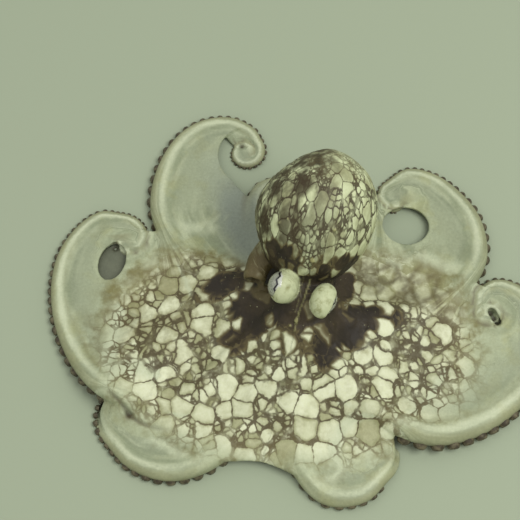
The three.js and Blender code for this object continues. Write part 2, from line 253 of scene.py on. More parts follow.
def armTube(arm):
    # the whole arm, with a low crest along its back and its underside flat on the floor
    def place(u, v):
        s = u * arm["length"]
        along, back, side = framesAt(arm, s)
        angle = 2 * math.pi * v
        crest = 1 + armBuild["crest"] * np.maximum(0, np.cos(angle)) ** 6
        spots = ringAt(centreAt(arm, s), back, side, angle, thickAt(arm, s) / 2 * crest)
        spots[:, 2] *= 1 - armBuild["flattened"] * ease(s, *arm.get("sunk", neverSunk))
        spots[:, 2] = np.maximum(spots[:, 2], 0)
        return spots

    return tubeFrom(int(arm["length"] / armBuild["step"]), armBuild["around"], place)


def coilOutline(arm):
    # the midline round a coil, from a little before it up to just under one turn of it
    start = arm["coil"][0] - coilSkin["before"]
    first = int(np.interp(start, arm["along"], np.arange(len(arm["along"]))))
    steps = np.diff(arm["points"], axis=0)
    heading = np.unwrap(np.arctan2(steps[:, 1], steps[:, 0]))
    turnedFar = np.abs(heading - heading[first])[first:] > math.radians(coilSkin["round"])
    last = first + np.argmax(turnedFar) if turnedFar.any() else len(steps)
    return arm["points"][first:last:3]


# The web is drawn up over the arms' backs by drape, less so from drapeFrom to the end of the free web.
webBuild = {"thin": 1.0, "grow": 0.13, "rise": 0.12, "step": 1.6, "across": 44,
            "drape": (0.95, 0.7), "drapeFrom": 30, "drapeWidth": 0.95}
webs = {  # between an arm and the one before it in arms: its reach along each, and its edge's bow
    "web_front": ("free", "free", 0.12), "web_front_left": ("free", "held", 0),
    "web_side_left": ("free", "held", 0.12), "web_rear_left": ("free", "held", 0.16),
    "web_rear": ("held", "held", 0.3), "web_rear_right": ("held", "free", 0),
    "web_side_right": ("held", "free", 0.1), "web_front_right": ("held", "free", 0),
}
webHoles = [  # ellipses in plan: centre, half sizes and turn
    ((-33, 111), (16, 19), 12), ((-111.5, 41), (8, 12), -15), ((64, 64), (14, 12.5), 0),
    ((113.8, 6), (2.6, 5.2), 26),
]
openingPost = (-20, 60)  # from under the floor to over the web
coilSkin = {"low": 0.8, "high": 3.2, "before": 14, "round": 320}
# Each coil's eye is sunk, and painted dark as painted shade.
coilEyes = [(-110.5, 51.5, 1.6), (-34.8, 119.5, 1.6), (-97.5, -55, 2.0),  # place in plan and half width
            (112.2, 9.3, 1.6), (114, 6, 1.5), (115.3, 2.5, 1.4)]
# The thin skin that closes each pocket is painted dark, as painted shade.
pockets = [((-111.5, 41), (9.5, 13.5), -15), ((113.8, 6), (4.4, 7), 26)]  # closed below by thin skin
pocketHigh = 1.5
# The crease is sunk, and painted dark along its line as painted shade.
crease = {"half": 1.3, "depth": 0.9, "whole": (0.25, 0.5),  # along its line, fading to both ends
          "through": [(-113, -39), (-106, -45), (-100, -51), (-97, -55), (-88, -60), (-74, -63),
                      (-59, -62.5)]}


def between(ends, share):
    return ends[0] + (ends[1] - ends[0]) * share


def webSlab(index, own, before, bow):
    # one sector between two arms, drawn up over their backs near the crown
    order = list(arms.values())
    ends = [(order[index], order[index][own]), (order[index - 1], order[index - 1][before])]

    def place(u, v):
        across = 1 - np.abs(2 * v - 1)
        topSide = np.where((v <= 0.5) | (v > 1 - 1e-6), 1.0, -1.0)
        outward = u * (1 - bow * 4 * across * (1 - across))
        spots, offsets, thicks, rises = [], [], [], []
        for arm, reach in ends:
            s = outward * reach
            armThick = thickAt(arm, s)
            centre = centreAt(arm, s)
            spots.append(centre[:, :2])
            offsets.append(centre[:, 2] - domeAt(*centre[:, :2].T) + webBuild["rise"] * armThick)
            thicks.append(webBuild["thin"] + webBuild["grow"] * armThick)
            drape = between(webBuild["drape"], ease(s, webBuild["drapeFrom"], arm["free"]))
            rises.append((0.5 - webBuild["rise"]) * armThick * drape)
        plan = between(spots, across[:, None])
        width = np.linalg.norm(spots[1] - spots[0], axis=1)
        thick = between(thicks, across)
        low = domeAt(plan[:, 0], plan[:, 1]) + between(offsets, across) - thick / 2
        high = low + thick
        for (arm, reach), rise, share in zip(ends, rises, (across, 1 - across)):
            high = high + rise * bell(share * width, webBuild["drapeWidth"] * thickAt(arm, outward * reach))
        level = np.where(np.abs(u - 0.5) > 0.5 - 1e-6, 0.5, (topSide + 1) / 2)
        return np.column_stack([plan, low + (high - low) * level])

    longest = max(reach for arm, reach in ends)
    return tubeFrom(int(longest / webBuild["step"]), 2 * webBuild["across"], place)


def postAt(outline, low, high):  # an upright prism over an outline in plan
    bm = bmesh.new()
    face = bm.faces.new([bm.verts.new((x, y, low)) for x, y in outline])
    top = bmesh.ops.extrude_face_region(bm, geom=[face])["geom"]
    topVerts = [item for item in top if isinstance(item, bmesh.types.BMVert)]
    bmesh.ops.translate(bm, vec=(0, 0, high - low), verts=topVerts)
    bmesh.ops.recalc_face_normals(bm, faces=bm.faces)
    return bm


def ellipseAt(centre, half, turn=0, points=40):
    angle = np.linspace(0, 2 * math.pi, points, endpoint=False)
    x, y = half[0] * np.cos(angle), half[1] * np.sin(angle)
    c, s = math.cos(math.radians(turn)), math.sin(math.radians(turn))
    return np.stack([centre[0] + x * c - y * s, centre[1] + x * s + y * c], 1)


def cutBy(piece, outlines):  # cuts upright openings through a piece
    posts = [toObject(postAt(outline, *openingPost), "post") for outline in outlines]
    for post in posts:
        cut = piece.modifiers.new("opening", "BOOLEAN")
        cut.operation, cut.solver, cut.object = "DIFFERENCE", "MANIFOLD", post
    applied(piece)
    for post in posts:
        bpy.data.objects.remove(post)
    return piece


mantle = {"centre": (7.2, 45.5, 61), "half": (34, 39.5, 31), "turn": -14, "tilt": 38, "swell": 0.1,
          "lean": 0.13}
skull = {"centre": (1, 5, 35), "half": (18, 21, 17), "turn": -20, "tilt": 18}
bulbs = {
    "eye_left": {"centre": (-10.4, 6.2, 55), "half": (8.1, 9.6, 8.6), "turn": -25, "tilt": 10},
    "eye_right": {"centre": (11.5, -2.0, 55.2), "half": (7.4, 10.2, 8.7), "turn": -17, "tilt": 10},
}
funnel = {"path": [(-13, 38, 38), (-20, 32, 39), (-25, 24, 39), (-27, 15, 38)], "radius": (9, 6.5),
          "bore": 5, "bored": 0.6, "grid": (48, 24), "outside": 0.75}  # the share of its rows outside
mouth = {"radius": 11.4, "rim": 22, "height": 20, "sides": 32}


def turnOf(shape):
    return np.array(Matrix.Rotation(math.radians(shape["turn"]), 3, "Z")
                    @ Matrix.Rotation(math.radians(shape["tilt"]), 3, "X"))


def egg(shape, detail=5):
    # an ellipsoid that swells towards its rear, and may be flattened at its upper left rear by lean
    bm = bmesh.new()
    bmesh.ops.create_icosphere(bm, subdivisions=detail, radius=1)

    def place(spots):
        thick = 1 + shape.get("swell", 0) * spots[:, 1]
        local = spots * np.array(shape["half"])
        local[:, 0] *= thick
        local[:, 2] *= thick
        rearLeft = np.maximum(spots[:, 1:2], 0) * np.maximum(-spots[:, :1], 0)
        local *= 1 - shape.get("lean", 0) * 2 * rearLeft
        return local @ turnOf(shape).T + np.array(shape["centre"])

    movedBy(bm, place)
    return bm


def funnelTube():
    # a curved tube, open at its mouth: around its outside, over the lip and down the bore
    path = splineThrough(funnel["path"])
    along = np.linspace(0, 1, len(path))

    def pathAt(t):
        return np.stack([np.interp(t, along, path[:, k]) for k in range(3)], 1)

    def place(u, v):
        share = funnel["outside"]
        inside = u > share
        t = np.where(inside, 1 - (u - share) / (1 - share) * (1 - funnel["bored"]), u / share)
        way = unit(pathAt(t + 0.02) - pathAt(t - 0.02))
        side = unit(np.stack([-way[:, 1], way[:, 0], 0 * t], 1))
        back = np.cross(way, side)
        radius = np.where(inside, funnel["bore"], between(funnel["radius"], t))
        return ringAt(pathAt(t), side, back, 2 * math.pi * v, radius)

    return tubeFrom(*funnel["grid"], place)


def mouthColumn():
    bm = bmesh.new()
    place = Matrix.Translation((0, 0, mouth["rim"] + mouth["height"] / 2))
    bmesh.ops.create_cone(bm, cap_ends=True, segments=mouth["sides"], radius1=mouth["radius"],
                          radius2=mouth["radius"], depth=mouth["height"], matrix=place)
    return bm


skinBuild = {"voxel": 0.00088, "rounds": 6, "neckRounds": 30, "eyeRounds": 3, "push": 0.52, "most": 190000}


def remeshed(bm, name):  # one closed surface of the solids in a bmesh that is in the frame already
    piece = linked(meshFrom(bm, name), name)
    remesh = piece.modifiers.new("remesh", "REMESH")
    remesh.mode, remesh.voxel_size = "VOXEL", skinBuild["voxel"]
    return applied(piece)


def skinBlank():
    # arms, web, coils, mantle, head and funnel as one closed surface
    for arm in arms.values():
        layRoute(arm)
    sectors = [toObject(webSlab(index, *webs[name]), name) for index, name in enumerate(webs)]
    sheet = remeshed(joinedFrom(sectors), "web")
    pieces = [cutBy(sheet, [ellipseAt(*hole) for hole in webHoles])]
    for name, arm in arms.items():
        pieces.append(toObject(armTube(arm), name))
        if "sunk" not in arm:
            pieces.append(toObject(postAt(coilOutline(arm), coilSkin["low"], coilSkin["high"]), name))
    body = [postAt(ellipseAt(*pocket), 0, pocketHigh) for pocket in pockets]
    body += [egg(mantle), egg(skull), mouthColumn(), funnelTube()]
    body += [egg(bulb, 4) for bulb in bulbs.values()]
    pieces += [toObject(bm, "body") for bm in body]
    blank = remeshed(joinedFrom(pieces), "octopus_skin")
    print("skin blank:", len(blank.data.polygons), "faces")
    return blank


skin = skinBlank()


shift = np.array(toFrame.translation) * 1000


def readAll(items, kind, width, number=float):
    flat = np.empty(len(items) * width, number)
    items.foreach_get(kind, flat)
    return flat.reshape(-1, width)


def spotsOf(mesh):  # vertex places in millimetres, in the layout's own axes
    return readAll(mesh.vertices, "co", 3) * 1000 - shift


def setSpots(mesh, spots):
    mesh.vertices.foreach_set("co", ((spots + shift) / 1000).ravel())
    mesh.update()


def normalsOf(mesh):
    return readAll(mesh.vertex_normals, "vector", 3)


def smoothed(spots, edges, rounds, weight, pull=0.5, push=0.0):
    # moves each spot towards the mean of its neighbours, and back by push, so that push keeps the size
    count = len(spots)
    degree = np.maximum(np.bincount(edges.ravel(), minlength=count), 1)[:, None]
    weight = np.broadcast_to(weight, count)[:, None]
    for _ in range(rounds):
        for factor in (pull, -push) if push else (pull,):
            total = np.stack([np.bincount(edges[:, 0], spots[edges[:, 1], k], count)
                              + np.bincount(edges[:, 1], spots[edges[:, 0], k], count)
                              for k in range(3)], 1)
            spots = spots + factor * weight * (total / degree - spots)
    return spots


def nearShape(shape, spots):
    # distance from a body shape's centre, where 1 is its surface, and the place in its own axes
    local = (spots - np.array(shape["centre"])) @ turnOf(shape) / np.array(shape["half"])
    return np.linalg.norm(local, axis=1), local


def nearest(shapes, spots):  # distance in the nearest of several shapes
    return np.min([nearShape(shape, spots)[0] for shape in shapes.values()], axis=0)


def eyeAxes(eye):
    # in the eyeball's own unit sphere: its looking direction, its slit and the way to the upper lid
    def toward(bearing, rise):
        b, r = math.radians(bearing), math.radians(rise)
        world = np.array([math.cos(b) * math.cos(r), math.sin(b) * math.cos(r), math.sin(r)])
        return unit(world @ turnOf(eye) / np.array(eye["half"]))

    look = toward(eye["bearing"], eye["rise"])
    slit = toward(slitBearing, 0)
    slit = unit(slit - look * (slit @ look))
    lid = np.cross(look, slit)
    return look, slit, lid if (turnOf(eye) @ lid)[2] > 0 else -lid


def eyePlaces(eye, spots):
    # distance from the eyeball's centre, and the place across the slit, along it and in front
    reach, local = nearShape(eye, spots)
    look, slit, lid = eyeAxes(eye)
    way = local / np.maximum(reach, 1e-6)[:, None]
    return reach, way @ lid, way @ slit, way @ look


sculpt = {
    # lids, in the eyeball's radius and the opening's own half size
    "socket": 0.86, "lidRim": 1.05, "lidEdge": 1.02, "rimAt": 1.12, "rimWidth": 0.34, "wedgeAt": 0.05,
    "wedgeWidth": 0.28, "ahead": -0.4, "deepest": 0.5,
    "blend": (1.5, 2.1), "blendReach": (1.3, 1.45), "eyeRound": (1.3, 1.6),
    # smoothing of the joins round the neck: from this height, out to this radius, less on the eye bulbs
    "neckRise": (16, 26), "neckOut": (42, 60), "onBulbs": 0.15, "bulbOut": (1.0, 1.25), "nearMantle": 1.3,
    "headRise": (18, 30), "facingUp": (0.1, 0.5), "eyeDepth": 2.2,
    "folds": [  # lines of raised skin between the eyes: knots in plan, height and half width
        {"through": [(5.5, 15), (3.4, 8), (0.6, 0), (-2.6, -8), (-4.4, -15)], "height": 0.7, "half": 0.7},
        {"through": [(1.2, 13), (-0.6, 7), (-1.8, 1), (-4.0, -6)], "height": 0.5, "half": 0.6},
    ],
    "warts": [  # place in plan, height and half width
        (4.6, 15.4, 1.1, 1.1), (-3.6, -10.1, 1.2, 1.0), (-6.8, -12.2, 0.9, 0.8), (-9.8, -15.5, 0.8, 0.8),
        (16.5, 27.2, 0.9, 1.0), (-13.0, 33.0, 0.8, 0.9), (-8.4, 33.6, 0.8, 0.8), (11.5, -34, 0.9, 0.9),
        (-38.0, -18.5, 1.0, 0.9), (-37.8, -33, 0.7, 0.8),
    ],
}


def openEyes(spots):
    # sinks the skin behind each eyeball where the lids part, and raises the rims of the lids round it
    for eye in eyes.values():
        reach, across, along, ahead = eyePlaces(eye, spots)
        low, high, length = eye["opening"]
        wedge = eye["wedge"] * bell(along - sculpt["wedgeAt"], sculpt["wedgeWidth"])
        middle, half = (low + high + wedge) / 2, (high + wedge - low) / 2
        edge = np.hypot((across - middle) / half, along / length)
        near = (ahead > sculpt["ahead"]) & (reach > sculpt["deepest"])
        rim = 1 + (sculpt["lidRim"] - 1) * bell(edge - sculpt["rimAt"], sculpt["rimWidth"])
        wanted = np.where(edge < sculpt["lidEdge"], sculpt["socket"], np.maximum(reach, rim))
        blend = np.maximum(ease(edge, *sculpt["blend"]), ease(reach, *sculpt["blendReach"]))
        wanted = wanted + (reach - wanted) * blend
        change = np.where(near, wanted / np.maximum(reach, 1e-6), 1)[:, None]
        spots = np.array(eye["centre"]) + (spots - np.array(eye["centre"])) * change
    return spots


def creaseAt(spots):  # strength of the crease in the web, deepest in its middle
    line = splineThrough(crease["through"], 16)
    share = np.linspace(0, 1, len(line))
    square = squaresTo(spots, line)
    along = share[np.argmin(square, axis=1)]
    fade = ease(along, 0, crease["whole"][0]) * (1 - ease(along, crease["whole"][1], 1))
    return fade * np.exp(-np.min(square, axis=1) / crease["half"] ** 2)


def headLines(spots, normals):  # height of the folds and warts of the head at each spot
    lift = np.zeros(len(spots))
    high = ease(spots[:, 2], *sculpt["headRise"]) * ease(normals[:, 2], *sculpt["facingUp"])
    for fold in sculpt["folds"]:
        line = splineThrough(fold["through"], 12)
        gap = np.min(np.hypot(spots[:, None, 0] - line[:, 0], spots[:, None, 1] - line[:, 1]), axis=1)
        lift += high * fold["height"] * bell(gap, fold["half"])
    for x, y, height, half in sculpt["warts"]:
        lift += high * height * dotAt(spots, x, y, half)
    return lift


def shapeSkin():
    # rounds the joins, opens the eyes and raises the folds and warts of the head
    mesh = skin.data
    edges = readAll(mesh.edges, "vertices", 2, int)
    spots = smoothed(spotsOf(mesh), edges, skinBuild["rounds"], 1.0, push=skinBuild["push"])
    reachBulbs = nearest(bulbs, spots)
    offCentre = np.hypot(spots[:, 0], spots[:, 1])
    neck = ease(spots[:, 2], *sculpt["neckRise"]) * (1 - ease(offCentre, *sculpt["neckOut"]))
    neck = np.clip(neck + (nearShape(mantle, spots)[0] < sculpt["nearMantle"]), 0, 1)
    neck *= sculpt["onBulbs"] + (1 - sculpt["onBulbs"]) * ease(reachBulbs, *sculpt["bulbOut"])
    spots = openEyes(smoothed(spots, edges, skinBuild["neckRounds"], neck))
    nearEyes = 1 - ease(nearest(eyes, spots), *sculpt["eyeRound"])
    spots = smoothed(spots, edges, skinBuild["eyeRounds"], nearEyes)
    setSpots(mesh, spots)
    normals = normalsOf(mesh)
    lift = headLines(spots, normals)
    for coilEye in coilEyes:
        lift -= sculpt["eyeDepth"] * dotAt(spots, *coilEye) * (normals[:, 2] > 0)
    lift -= crease["depth"] * creaseAt(spots) * (normals[:, 2] > 0)
    setSpots(mesh, spots + normals * lift[:, None])
    print("skin shaped")


# The mask, brown and blue zones are ellipses in plan: centre, half sizes, turn and strength. The net's
# reach and the start of the streaks are distances from the middle, by bearing.
markings = {
    "mask": [
        (-23, 7, 17, 14, 15, 0.92), (-45, 21, 16, 8, 28, 0.66), (-27, -6, 10, 10, 0, 0.78),
        (0, 3, 22, 17, 0, 0.92), (21, -10, 16, 11, 0, 0.92), (39, -1, 18, 9, 10, 0.66),
        (-12, 24, 10, 8, 0, 0.95), (24, 18, 7, 12, -15, 0.9), (14, -24, 8, 9, 0, 0.56),
        (-38, -14, 10, 9, 0, 0.56), (-3, -20, 12, 8, 0, 0.42), (-30, 22, 10, 9, 0, 0.85)],
    "brown": [(-84, 12, 34, 26, 10, 1.0), (-52, 34, 26, 12, 30, 0.8), (62, 22, 34, 13, 12, 0.9),
              (84, 2, 26, 16, 0, 0.5), (-70, -24, 22, 18, 0, 0.6), (88, 48, 16, 22, 0, 0.5)],
    "blue": [(-33, 66, 15, 34, 18, 1.0), (-40, 92, 18, 26, 30, 0.5), (12, 82, 26, 14, 0, 0.6)],
    "netReach": [(-180, 140), (-160, 136), (-135, 117), (-95, 102), (-50, 110), (-30, 123), (-15, 124),
                 (20, 112), (45, 84), (70, 48), (100, 36), (128, 52), (150, 112), (180, 140)],
    "streaksFrom": [(-180, 110), (-140, 200), (-62, 200), (-40, 98), (-5, 104), (8, 52), (22, 30),
                    (60, 30), (120, 46), (150, 62), (180, 110)],
    "netFade": 52, "streakFade": 24,
    "flatCells": 0.45, "mantleCells": 1.85, "mantleShort": 0.5,  # how far the pattern is squeezed
    "streakTurn": 40, "streakRise": 0.3,
    "onMantle": (1.03, 1.2), "onBulb": (1.0, 1.16), "onFunnel": (8.2, 10.2), "onFold": (0.25, 0.9),
    "pocketEdge": (0.9, 1.1), "pocketOver": 0.7, "netRim": (-1.0, 0.2), "netRimLess": 0.85,
    # On the mantle, in its own axes, -1 to 1: where the mask ends, the pale nape, and the shade, by
    # how much it is in the middle and changes to the right, to the rear and at the left rear.
    # The mantle's shade, darker to the left, is partly its own blotches and partly painted shade.
    "maskEnd": (-0.38, -0.18), "napeAt": (0.12, 0.2), "napeEnd": (-0.8, -0.66), "napePale": 0.8,
    "shade": (0.55, -0.75, -0.25, 0.6), "rear": (0.2, 0.8), "right": (-0.1, 0.5),
    "netRear": (0.5, 0.95), "netRearLess": 0.55,
}
# The rim of an arm: how far along it starts and is whole, from the end of the free web, and its
# bands across the arm, inward from the midline in thicknesses of the arm.
# The crest band is a painted highlight along the arm's ridge.
rims = {"along": (-25, 30), "least": 4.2, "offArm": (0.45, 0.7), "crest": (0.2, 0.2),
        # The groove, outside, under and hollow bands are painted shade.
        "grooveShade": (0.62, 0.18), "outside": (-0.3, 0.1), "under": (-0.62, -0.4), "underGap": (0.7, 0.9),
        "hollow": (0.6, 1.2), "hollowFade": (10, 28), "hollowLess": 0.6, "plain": (7, 15),
        "edge": (0.93, 0.99), "edgeEnd": (1.03, 1.1), "edgeWithin": 40, "downward": (-0.5, 0.0)}


def armPlaces(spots, step=1.5):
    # the nearest arm to each spot, the way along it and off it, and its neighbour's on the same side
    gaps, ways, sides = [], [], []
    plan = spots[:, :2].astype(np.float32)
    for arm in arms.values():
        samples = np.arange(0, arm["length"], step)
        line = planAt(arm, samples).astype(np.float32)
        square = squaresTo(plan, line)
        close = np.argmin(square, axis=1)
        ahead = (planAt(arm, samples + 1) - planAt(arm, samples - 1))[close]
        off = plan - line[close]
        gaps.append(np.sqrt(square[np.arange(len(spots)), close]))
        ways.append(samples[close])
        sides.append(np.sign(ahead[:, 0] * off[:, 1] - ahead[:, 1] * off[:, 0]))
    gaps, ways, sides = np.stack(gaps, 1), np.stack(ways, 1), np.stack(sides, 1)
    rows, own = np.arange(len(spots)), np.argmin(gaps, axis=1)
    left = sides[rows, own] > 0
    other = np.where(left, own - 1, own + 1) % len(arms)
    return SimpleNamespace(own=own, other=other, left=left, gap=gaps[rows, own], way=ways[rows, own],
                           otherGap=gaps[rows, other], otherWay=ways[rows, other])


def skinPlaces(mesh):
    # where each spot of the skin lies on its arm, between two arms and on the mantle
    spots = spotsOf(mesh)
    at = armPlaces(spots)
    at.spots, at.normals = spots, normalsOf(mesh)
    at.x, at.y, at.z = spots.T

    def ofArm(key, missing=None):
        return np.array([arm.get(key, missing) for arm in arms.values()])[at.own]

    at.thick = thickAt({"length": ofArm("length")}, at.way)
    at.inward = at.gap / at.thick * np.where(at.left, 1, -1) * ofArm("side")
    at.offArm = ease(at.gap / at.thick, *rims["offArm"])
    at.weight = at.otherGap / np.maximum(at.gap + at.otherGap, 1e-6)
    at.sunk = ease(at.way, *ofArm("sunk", neverSunk).T)
    free = ofArm("free")
    at.rim = ease(at.way, free + rims["along"][0], free + rims["along"][1]) * (1 - at.sunk)
    reach, at.inMantle = nearShape(mantle, spots)
    at.onMantle = 1 - ease(reach, *markings["onMantle"])
    at.blue = zones("blue", at) * (1 - at.onMantle)
    return at


def sectorReach():
    # how far along each arm the web goes on its left and right side, and how far its edge is bowed in
    order = list(arms.values())
    reach, bow = np.zeros((len(order), 2)), np.zeros((len(order), 2))
    for index, (own, before, bowed) in enumerate(webs.values()):
        for arm, side, end in ((index, 1, own), (index - 1, 0, before)):
            reach[arm, side], bow[arm, side] = order[arm][end], bowed
    return reach, bow


def setMark(mesh, name, values):
    kind, key = ("FLOAT_VECTOR", "vector") if np.ndim(values) == 2 else ("FLOAT", "value")
    layer = mesh.attributes.get(name) or mesh.attributes.new(name, kind, "POINT")
    layer.data.foreach_set(key, np.ascontiguousarray(values, float).ravel())


def softEllipse(x, y, cx, cy, halfX, halfY, turn, strength, inner=0.55, outer=1.45):
    # strength inside an ellipse in plan, fading to nothing round it
    t = math.radians(turn)
    u = ((x - cx) * math.cos(t) + (y - cy) * math.sin(t)) / halfX
    v = (-(x - cx) * math.sin(t) + (y - cy) * math.cos(t)) / halfY
    return strength * (1 - ease(np.hypot(u, v), inner, outer))


def zones(kind, at):  # the strongest of a kind's ellipses at each spot
    return np.max([softEllipse(at.x, at.y, *zone) for zone in markings[kind]], axis=0)


def byBearing(kind, at):
    bearings, distances = zip(*markings[kind])
    return np.interp(np.degrees(np.arctan2(at.y, at.x)), bearings, distances)


def markPatterns(mesh, at):
    # cells: stretched along the mantle, nearly in plan everywhere else
    axis = turnOf(mantle)[:, 1]
    fromCentre = at.spots - np.array(mantle["centre"])
    lengthwise = (fromCentre @ axis)[:, None] * axis
    stretched = markings["mantleCells"] * (fromCentre - markings["mantleShort"] * lengthwise)
    flat = at.spots * np.array([1, 1, markings["flatCells"]])
    setMark(mesh, "netCoord", flat + (stretched - flat) * at.onMantle[:, None])

    # streaks: along the arms, and from arm to arm across the web
    along = at.way * at.weight + at.otherWay * (1 - at.weight)
    around = at.own + (1 - at.weight) * np.where(at.left, -1, 1)
    flow = [along, around * markings["streakTurn"], at.z * markings["streakRise"]]
    setMark(mesh, "flowCoord", np.column_stack(flow))


def markRims(mesh, at):
    reach, bow = sectorReach()
    side = np.where(at.left, 0, 1)
    bowed = 1 - bow[at.own, side] * 4 * at.weight * (1 - at.weight)
    outward = (at.way / reach[at.own, side] * at.weight
               + at.otherWay / reach[at.other, 1 - side] * (1 - at.weight)) / bowed
    edge = ease(outward, *rims["edge"]) * (1 - ease(outward, *rims["edgeEnd"])) * at.offArm
    edge = edge * (at.gap < rims["edgeWithin"])
    setMark(mesh, "freeEdge", edge * (1 - np.clip(1.5 * at.blue, 0, 1)))
    band = at.inward * at.thick / np.maximum(at.thick, rims["least"])
    # the crest is a painted highlight along the arm's ridge, and the groove beside it is painted shade
    for name in ("crest", "grooveShade"):
        middle, half = rims[name]
        setMark(mesh, name, at.rim * bell(band - middle, half))
    # painted shade on the arm's outer side
    setMark(mesh, "outside", at.rim * (1 - ease(at.inward, *rims["outside"])) * (1 - at.offArm))
    # painted shade below the arm's rim and on every surface that faces down
    shadeBelow = at.rim * (1 - ease(at.inward, *rims["under"]))
    shadeBelow = shadeBelow * (1 - ease(at.gap / at.thick, *rims["underGap"]))
    setMark(mesh, "under", np.maximum(shadeBelow, 1 - ease(at.normals[:, 2], *rims["downward"])))
    # painted shade in the hollow of the web inside the arm's rim
    fade = 1 - rims["hollowLess"] * ease(at.gap, *rims["hollowFade"])
    setMark(mesh, "hollow", at.rim * ease(at.inward, *rims["hollow"]) * fade)
    streaky = 1 - at.rim * ease(at.gap, *rims["plain"])
    setMark(mesh, "streaky", streaky * (1 - 0.7 * at.blue) * (1 - at.sunk))


def markCoils(mesh, at):
    # painted shade in each coil's sunken eye
    setMark(mesh, "coilEye", np.max([dotAt(at.spots, *coilEye) for coilEye in coilEyes], axis=0))
    # painted shade along the crease
    setMark(mesh, "crease", creaseAt(at.spots))
    # painted shade on the thin skin that closes each pocket
    inPocket = [softEllipse(at.x, at.y, *centre, *half, turn, 1.0, *markings["pocketEdge"])
                for centre, half, turn in pockets]
    setMark(mesh, "pocket", np.max(inPocket, axis=0) * (at.z < pocketHigh + markings["pocketOver"]))


def markHead(mesh, at):
    right, rearward = at.inMantle[:, 0], at.inMantle[:, 1]
    bulb = 1 - ease(nearest(bulbs, at.spots), *markings["onBulb"])
    middle, half = markings["napeAt"]
    nape = markings["napePale"] * bell(right - middle, half) * ease(rearward, *markings["napeEnd"])
    mask = zones("mask", at) * (1 - at.onMantle * ease(rearward, *markings["maskEnd"]))
    setMark(mesh, "mask", mask * (1 - at.onMantle * nape) * (1 - bulb))
    setMark(mesh, "bulb", bulb)
    setMark(mesh, "mantle", at.onMantle)
    # darker to the left: partly its own blotches, partly painted shade
    leftRear = ease(rearward, *markings["rear"]) * (1 - ease(right, *markings["right"]))
    middle, toRight, toRear, atLeftRear = markings["shade"]
    shade = middle + toRight * right + toRear * rearward + atLeftRear * leftRear
    setMark(mesh, "mantleShade", at.onMantle * np.clip(shade, 0, 1))
    path = splineThrough(funnel["path"])[::6]
    funnelGap = np.min(np.linalg.norm(at.spots[:, None] - path, axis=2), axis=1)
    setMark(mesh, "funnel", 1 - ease(funnelGap, *markings["onFunnel"]))
    setMark(mesh, "fold", ease(headLines(at.spots, at.normals), *markings["onFold"]))


def markNet(mesh, at):
    radius = np.hypot(at.x, at.y)
    limit = byBearing("netReach", at)
    rear = markings["netRearLess"] * ease(at.inMantle[:, 1], *markings["netRear"])
    netMantle = at.onMantle * (1 - rear)
    onRim = markings["netRimLess"] * at.rim * ease(-at.inward, *markings["netRim"]) * (1 - at.offArm)
    netWeb = (1 - ease(radius, limit - markings["netFade"], limit)) * (1 - onRim)
    setMark(mesh, "net", np.maximum(netMantle, netWeb))
    start = byBearing("streaksFrom", at)
    setMark(mesh, "blur", ease(radius, start, start + markings["streakFade"]) * (1 - at.onMantle))
    setMark(mesh, "blue", at.blue)
    setMark(mesh, "brown", zones("brown", at) * (1 - at.onMantle))


def markSkin(mesh):  # writes the attributes that the relief and the colours read
    at = skinPlaces(mesh)
    for write in (markPatterns, markRims, markCoils, markHead, markNet):
        write(mesh, at)


# Cells of three sizes in millimetres: of each size but the last, this share stays whole.
netBuild = {"sizes": (11.5, 7.6, 4.9), "kept": (0.44, 0.7), "streakSizes": (8.0, 4.2),
            "streakKept": (0.5,), "warp": 1.7, "warpSize": 8.0, "round": 0.69, "gapRing": 0.6,
            "corner": 1.5, "jitter": 0.82, "far": 20.0, "shuffle": 3.7,
            "puff": 1.7, "puffHigh": 0.45, "puffLow": 0.6}


class Value:  # an output of a node, for sums and products with numbers and with other outputs
    def __init__(self, tree, socket):
        self.tree, self.socket = tree, socket

    def __add__(self, other):
        return addMath("ADD", self, other)

    def __mul__(self, other):
        return addMath("MULTIPLY", self, other)

    def __sub__(self, other):
        return addMath("SUBTRACT", self, other)

    def __rsub__(self, number):
        return addMath("SUBTRACT", number, self)

    __radd__, __rmul__ = __add__, __mul__

    def also(self, output):  # another output of the same node
        return Value(self.tree, self.socket.node.outputs[output])


def feed(socket, value):  # links a Value to a socket, or sets the socket to a plain one
    if isinstance(value, Value):
        value.tree.links.new(value.socket, socket)
    else:
        socket.default_value = value


def addNode(tree, kind, inputs, output=0, **settings):
    node = tree.nodes.new(kind)
    for name, setting in settings.items():
        setattr(node, name, setting)
    for key, value in inputs.items():
        feed(node.inputs[key], value)
    return Value(tree, node.outputs[output])


def treeOf(values):
    return next(value.tree for value in values if isinstance(value, Value))


def addMath(operation, *values):
    return addNode(treeOf(values), "ShaderNodeMath", dict(enumerate(values)), operation=operation)


def addMap(value, low, high, start=0.0, end=1.0):  # eases a value from one range into another
    inputs = dict(enumerate((value, low, high, start, end)))
    return addNode(value.tree, "ShaderNodeMapRange", inputs, interpolation_type="SMOOTHSTEP")


def addVector(operation, first, second):
    inputs = {0: first, "Scale" if operation == "SCALE" else 1: second}
    return addNode(first.tree, "ShaderNodeVectorMath", inputs, operation=operation)


def addNoise(vector, size, detail=3.0, output="Fac", rough=0.5):
    inputs = {"Vector": vector, "Scale": 1 / size, "Detail": detail, "Roughness": rough}
    return addNode(vector.tree, "ShaderNodeTexNoise", inputs, output)


def addCells(vector, size, feature, output):
    inputs = {"Vector": vector, "Scale": 1 / size, "Randomness": netBuild["jitter"]}
    return addNode(vector.tree, "ShaderNodeTexVoronoi", inputs, output, feature=feature)


